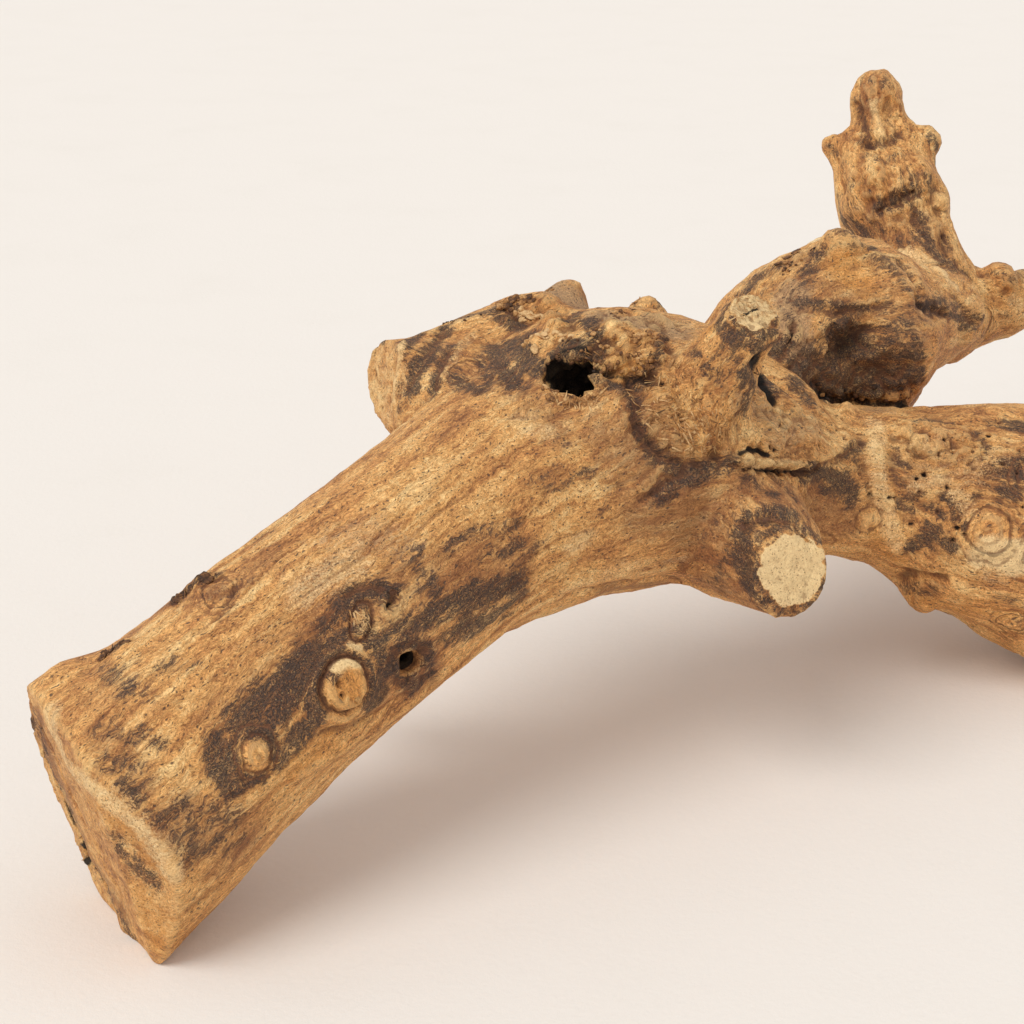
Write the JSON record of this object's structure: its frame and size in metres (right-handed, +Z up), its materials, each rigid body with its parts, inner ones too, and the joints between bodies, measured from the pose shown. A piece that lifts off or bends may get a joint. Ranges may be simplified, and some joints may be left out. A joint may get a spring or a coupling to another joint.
{
  "type": "mulberry root",
  "caption": "Weathered mulberry root with a sawn trunk, a knobbly burl, broken stubs and a hollow, lying on its own feet.",
  "frame": {"origin": "centre of the root's footprint, on the surface that it lies on", "axes": "+Z up, +X towards the long right branch, +Y towards the back, away from the sawn trunk end"},
  "size_m": [0.2867, 0.2529, 0.1105],
  "materials": {
    "weathered_wood": "dry, matt, weathered root wood with dark stains, open pores and crumbling bark"
  },
  "bodies": {
    "root": {"mulberry_root": "weathered_wood"}
  },
  "joints": []
}
